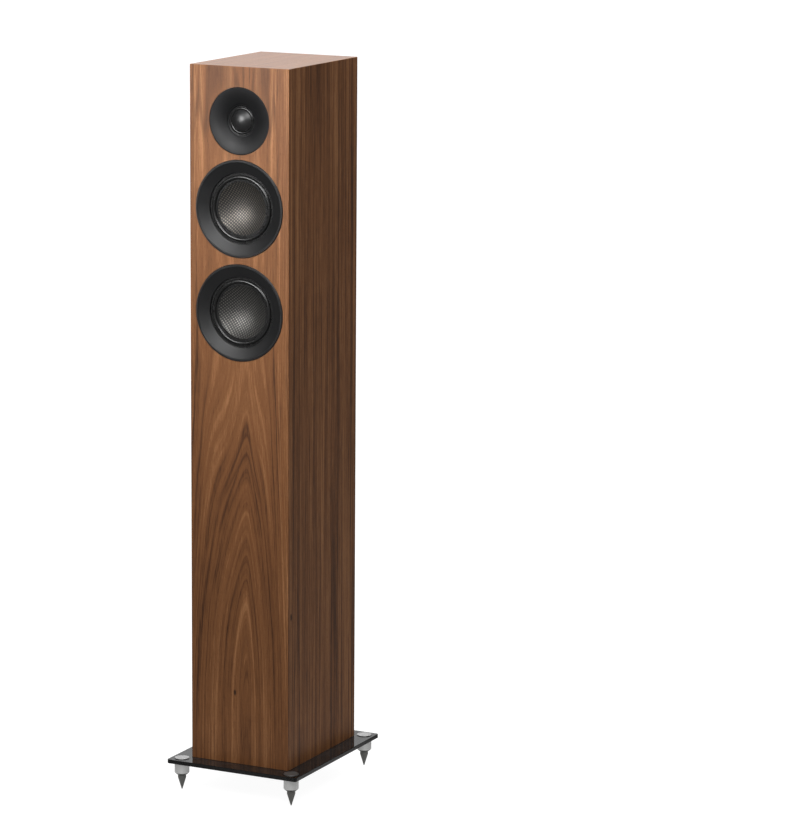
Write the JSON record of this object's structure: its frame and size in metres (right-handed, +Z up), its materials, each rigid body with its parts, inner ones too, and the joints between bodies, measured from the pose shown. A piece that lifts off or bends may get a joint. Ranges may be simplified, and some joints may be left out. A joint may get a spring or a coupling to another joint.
{
  "type": "floorstanding speaker",
  "caption": "Slim wood-veneered column speaker with woven-cone woofers and a dome tweeter in a shallow horn, on a glass plinth with levelling spikes.",
  "frame": {"origin": "on the floor, under the centre of the plinth", "axes": "+Z up, +X to the right seen from the front, +Y to the back; the drivers face -Y"},
  "size_m": [0.215, 0.268, 1.0702],
  "materials": {
    "veneer": "open-grained walnut veneer with a thin satin lacquer",
    "bare_board": "bare fibreboard",
    "wadding": "loose white polyester fibre",
    "smoked_glass": "smoked toughened glass with polished edges",
    "black_screws": "black passivated steel",
    "nylon": "natural nylon",
    "satin_aluminium": "turned aluminium with a satin finish",
    "dark_steel": "turned steel, darkened",
    "satin_black": "moulded black plastic with a satin face",
    "cast_frame": "die-cast frame, black coated",
    "surround_rubber": "smooth butyl rubber with a soft sheen",
    "woven_cone": "woven fibre cloth, resin sealed, pale threads on black",
    "coil_winding": "enamelled copper wire",
    "spider_cloth": "resin-stiffened cotton cloth",
    "plated_steel": "zinc-plated steel",
    "ferrite": "sintered ferrite",
    "foam_gasket": "closed-cell foam",
    "tweeter_roll": "thin rolled ring with a soft sheen",
    "dome_black": "coated dome, glossy black",
    "port_plastic": "moulded black plastic",
    "gold_plate": "gold-plated brass",
    "red_cap": "red moulded cap",
    "black_cap": "black moulded cap",
    "circuit_board": "fibreglass board",
    "capacitor_sleeve": "film capacitor in a blue sleeve",
    "resistor_ceramic": "cement resistor body",
    "wire_sleeve": "flexible insulation"
  },
  "bodies": {
    "cabinet": {"front_baffle": "veneer", "rear_panel": "veneer", "left_side_panel": "veneer", "right_side_panel": "veneer", "top_panel": "veneer", "bottom_panel": "veneer", "cabinet_braces": "bare_board", "damping_wadding": "wadding", "glass_plinth": "smoked_glass", "plinth_screws": "black_screws", "woofer_screws": "black_screws", "tweeter_screws": "black_screws", "rear_panel_screws": "black_screws", "plinth_washers": "nylon", "crossover_spacers": "nylon", "foot_discs": "satin_aluminium", "foot_collars": "satin_aluminium", "upper_woofer_trim_ring": "satin_black", "upper_woofer_basket": "cast_frame", "upper_woofer_surround": "surround_rubber", "upper_woofer_spider": "spider_cloth", "upper_woofer_top_plate": "plated_steel", "upper_woofer_yoke": "plated_steel", "upper_woofer_magnet": "ferrite", "lower_woofer_trim_ring": "satin_black", "lower_woofer_basket": "cast_frame", "lower_woofer_surround": "surround_rubber", "lower_woofer_spider": "spider_cloth", "lower_woofer_top_plate": "plated_steel", "lower_woofer_yoke": "plated_steel", "lower_woofer_magnet": "ferrite", "woofer_gaskets": "foam_gasket", "tweeter_faceplate": "satin_black", "tweeter_surround": "tweeter_roll", "crossover_inductors": "coil_winding", "tweeter_top_plate": "plated_steel", "tweeter_yoke": "plated_steel", "tweeter_magnet": "ferrite", "reflex_port_tube": "port_plastic", "terminal_cup": "port_plastic", "terminal_posts": "gold_plate", "terminal_nuts": "gold_plate", "crossover_board": "circuit_board", "crossover_capacitors": "capacitor_sleeve", "crossover_resistors": "resistor_ceramic", "internal_wiring": "wire_sleeve"},
    "upper_woofer_drive": {"upper_woofer_cone": "woven_cone", "upper_woofer_voice_coil": "coil_winding"},
    "lower_woofer_drive": {"lower_woofer_cone": "woven_cone", "lower_woofer_voice_coil": "coil_winding"},
    "tweeter_drive": {"tweeter_dome": "dome_black", "tweeter_voice_coil": "coil_winding"},
    "front_left_foot": {"front_left_spike": "dark_steel"},
    "front_right_foot": {"front_right_spike": "dark_steel"},
    "rear_left_foot": {"rear_left_spike": "dark_steel"},
    "rear_right_foot": {"rear_right_spike": "dark_steel"},
    "red_clamp": {"red_clamp_washer": "gold_plate"},
    "red_knob": {"red_terminal_cap": "red_cap"},
    "black_clamp": {"black_clamp_washer": "gold_plate"},
    "black_knob": {"black_terminal_cap": "black_cap"}
  },
  "joints": [
    {"name": "upper_woofer_travel", "type": "slide", "parent": "cabinet", "child": "upper_woofer_drive", "axis": [0, -1, 0], "range_m": [-0.005, 0.005], "stiffness_N_per_m": 1000, "deforming": ["upper_woofer_surround", "upper_woofer_spider"]},
    {"name": "lower_woofer_travel", "type": "slide", "parent": "cabinet", "child": "lower_woofer_drive", "axis": [0, -1, 0], "range_m": [-0.005, 0.005], "stiffness_N_per_m": 1000, "deforming": ["lower_woofer_surround", "lower_woofer_spider"]},
    {"name": "tweeter_travel", "type": "slide", "parent": "cabinet", "child": "tweeter_drive", "axis": [0, -1, 0], "range_m": [-0.0004, 0.0004], "stiffness_N_per_m": 4000, "deforming": ["tweeter_surround"]},
    {"name": "front_left_spike_height", "type": "slide", "parent": "cabinet", "child": "front_left_foot", "axis": [0, 0, -1], "range_m": [0, 0.005]},
    {"name": "front_right_spike_height", "type": "slide", "parent": "cabinet", "child": "front_right_foot", "axis": [0, 0, -1], "range_m": [0, 0.005]},
    {"name": "rear_left_spike_height", "type": "slide", "parent": "cabinet", "child": "rear_left_foot", "axis": [0, 0, -1], "range_m": [0, 0.005]},
    {"name": "rear_right_spike_height", "type": "slide", "parent": "cabinet", "child": "rear_right_foot", "axis": [0, 0, -1], "range_m": [0, 0.005]},
    {"name": "red_washer_slide", "type": "slide", "parent": "cabinet", "child": "red_clamp", "axis": [0, 1, 0], "range_m": [0, 0.004]},
    {"name": "red_cap_turn", "type": "hinge", "parent": "red_clamp", "child": "red_knob", "pos_m": [-0.00953, 0.0965, 0.1472], "axis": [0, 1, 0], "range_deg": [0, 1440]},
    {"name": "black_washer_slide", "type": "slide", "parent": "cabinet", "child": "black_clamp", "axis": [0, 1, 0], "range_m": [0, 0.004]},
    {"name": "black_cap_turn", "type": "hinge", "parent": "black_clamp", "child": "black_knob", "pos_m": [0.00953, 0.0965, 0.1472], "axis": [0, 1, 0], "range_deg": [0, 1440]}
  ],
  "couplings": [
    {"joint": "red_cap_turn", "follows": "red_washer_slide", "rad_per_m": 6283.2},
    {"joint": "black_cap_turn", "follows": "black_washer_slide", "rad_per_m": 6283.2}
  ]
}
